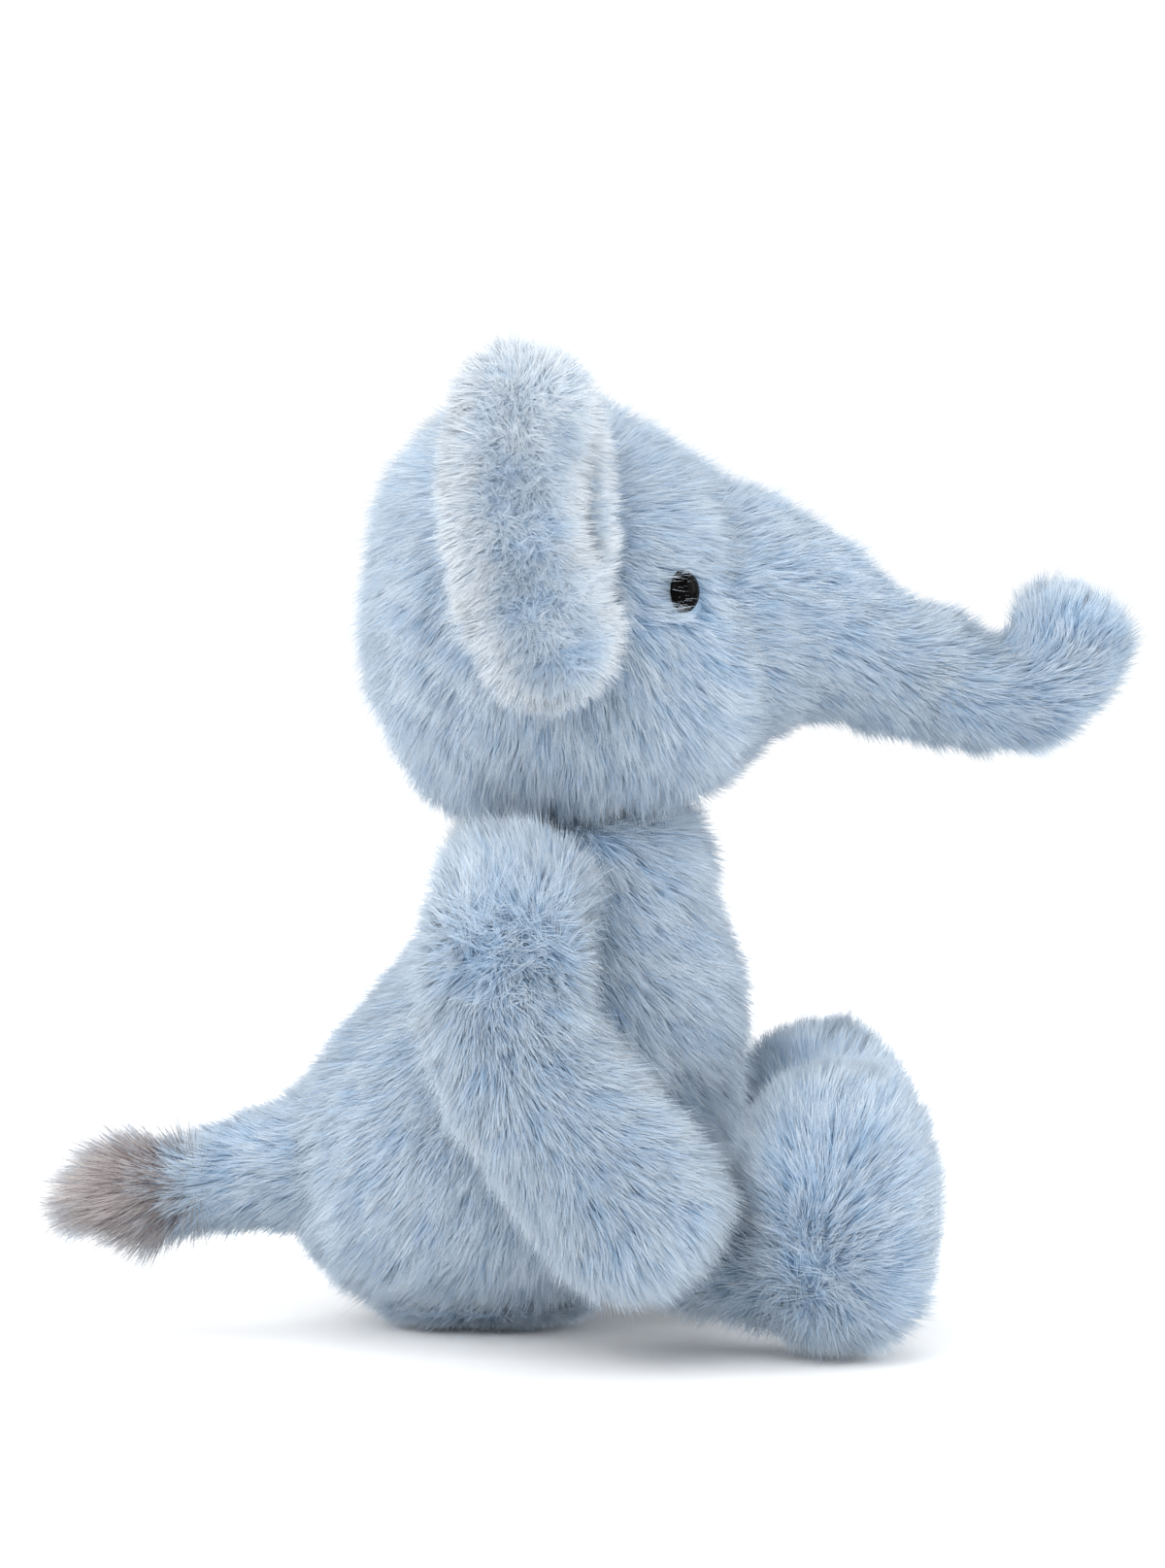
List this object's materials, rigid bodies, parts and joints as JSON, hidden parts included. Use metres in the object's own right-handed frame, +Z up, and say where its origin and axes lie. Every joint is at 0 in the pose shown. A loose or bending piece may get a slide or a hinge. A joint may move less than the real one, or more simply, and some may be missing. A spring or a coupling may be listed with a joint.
{
  "type": "plush elephant",
  "caption": "Seated long-pile plush elephant with an upturned trunk, padded ears, bead eyes and a tufted tail, sewn so that head, trunk, ears, arms, legs and tail can be posed",
  "frame": {"origin": "middle of the whole outline seen from above, on the surface that the elephant sits on", "axes": "+X the way the elephant faces (trunk), +Y its own left side, +Z up"},
  "size_m": [0.2701, 0.173, 0.2427],
  "materials": {
    "plush": "long-pile plush in pale sky blue with whitish tips",
    "filling": "white hollow-fibre stuffing",
    "bean_bag": "woven bag filled with plastic beans",
    "eye": "polished black bead",
    "washer": "plain white moulded washer",
    "tuft": "longer grey-brown pile with pale tips"
  },
  "bodies": {
    "torso": {"seat_panel": "plush", "seat_bean_bag": "bean_bag", "torso_cover_right": "plush", "torso_cover_left": "plush", "torso_filling": "filling"},
    "neck": {"neck_plug": "filling"},
    "head": {"head_cover_right": "plush", "head_cover_left": "plush", "head_filling": "filling", "eye_right": "eye", "eye_left": "eye", "eye_washer_right": "washer", "eye_washer_left": "washer"},
    "trunk_base": {"trunk_base_cover_right": "plush", "trunk_base_cover_left": "plush", "trunk_base_filling": "filling"},
    "trunk_tip": {"trunk_tip_cover_right": "plush", "trunk_tip_cover_left": "plush", "trunk_tip_filling": "filling"},
    "ear_right": {"ear_outer_right": "plush", "ear_lining_right": "plush", "ear_wadding_right": "filling"},
    "ear_left": {"ear_outer_left": "plush", "ear_lining_left": "plush", "ear_wadding_left": "filling"},
    "arm_right": {"arm_outer_right": "plush", "arm_inner_right": "plush", "arm_filling_right": "filling"},
    "arm_left": {"arm_outer_left": "plush", "arm_inner_left": "plush", "arm_filling_left": "filling"},
    "leg_right": {"leg_sleeve_right": "plush", "leg_filling_right": "filling", "foot_upper_right": "plush", "foot_sole_right": "plush", "foot_filling_right": "filling"},
    "leg_left": {"leg_sleeve_left": "plush", "leg_filling_left": "filling", "foot_upper_left": "plush", "foot_sole_left": "plush", "foot_filling_left": "filling"},
    "tail": {"tail_cover_right": "plush", "tail_cover_left": "plush", "tail_filling": "filling", "tail_tuft": "tuft"}
  },
  "joints": [
    {"name": "neck_turn", "type": "hinge", "parent": "torso", "child": "neck", "pos_m": [0.002, 0, 0.121], "axis": [0, 0, 1], "range_deg": [-45, 45], "stiffness_Nm_per_rad": 0.4},
    {"name": "neck_nod", "type": "hinge", "parent": "neck", "child": "head", "pos_m": [0.002, 0, 0.121], "axis": [0, -1, 0], "range_deg": [-12, 18], "stiffness_Nm_per_rad": 0.8},
    {"name": "trunk_bend", "type": "hinge", "parent": "head", "child": "trunk_base", "pos_m": [0.06, 0, 0.171], "axis": [0, -1, 0], "range_deg": [-25, 25], "stiffness_Nm_per_rad": 0.1},
    {"name": "trunk_curl", "type": "hinge", "parent": "trunk_base", "child": "trunk_tip", "pos_m": [0.095, 0, 0.159], "axis": [0, -1, 0], "range_deg": [-35, 25], "stiffness_Nm_per_rad": 0.05},
    {"name": "ear_right_flap", "type": "hinge", "parent": "head", "child": "ear_right", "pos_m": [0.012, -0.05, 0.158], "axis": [-0.1219, 0, 0.9925], "range_deg": [-8, 50], "stiffness_Nm_per_rad": 0.03},
    {"name": "ear_left_flap", "type": "hinge", "parent": "head", "child": "ear_left", "pos_m": [0.012, 0.05, 0.158], "axis": [0.1219, 0, -0.9925], "range_deg": [-8, 50], "stiffness_Nm_per_rad": 0.03},
    {"name": "arm_right_lift", "type": "hinge", "parent": "torso", "child": "arm_right", "pos_m": [-0.012, -0.046, 0.103], "axis": [-0.87, -0.493, 0], "range_deg": [-3, 80], "stiffness_Nm_per_rad": 0.1},
    {"name": "arm_left_lift", "type": "hinge", "parent": "torso", "child": "arm_left", "pos_m": [-0.012, 0.046, 0.103], "axis": [0.87, -0.493, 0], "range_deg": [-3, 80], "stiffness_Nm_per_rad": 0.1},
    {"name": "leg_right_lift", "type": "hinge", "parent": "torso", "child": "leg_right", "pos_m": [0.033, -0.032, 0.021], "axis": [0, -1, 0], "range_deg": [-10, 22], "stiffness_Nm_per_rad": 0.3},
    {"name": "leg_left_lift", "type": "hinge", "parent": "torso", "child": "leg_left", "pos_m": [0.033, 0.032, 0.021], "axis": [0, -1, 0], "range_deg": [-10, 22], "stiffness_Nm_per_rad": 0.3},
    {"name": "tail_wag", "type": "hinge", "parent": "torso", "child": "tail", "pos_m": [-0.086, 0, 0.038], "axis": [0, 0, 1], "range_deg": [-30, 30], "stiffness_Nm_per_rad": 0.05}
  ]
}
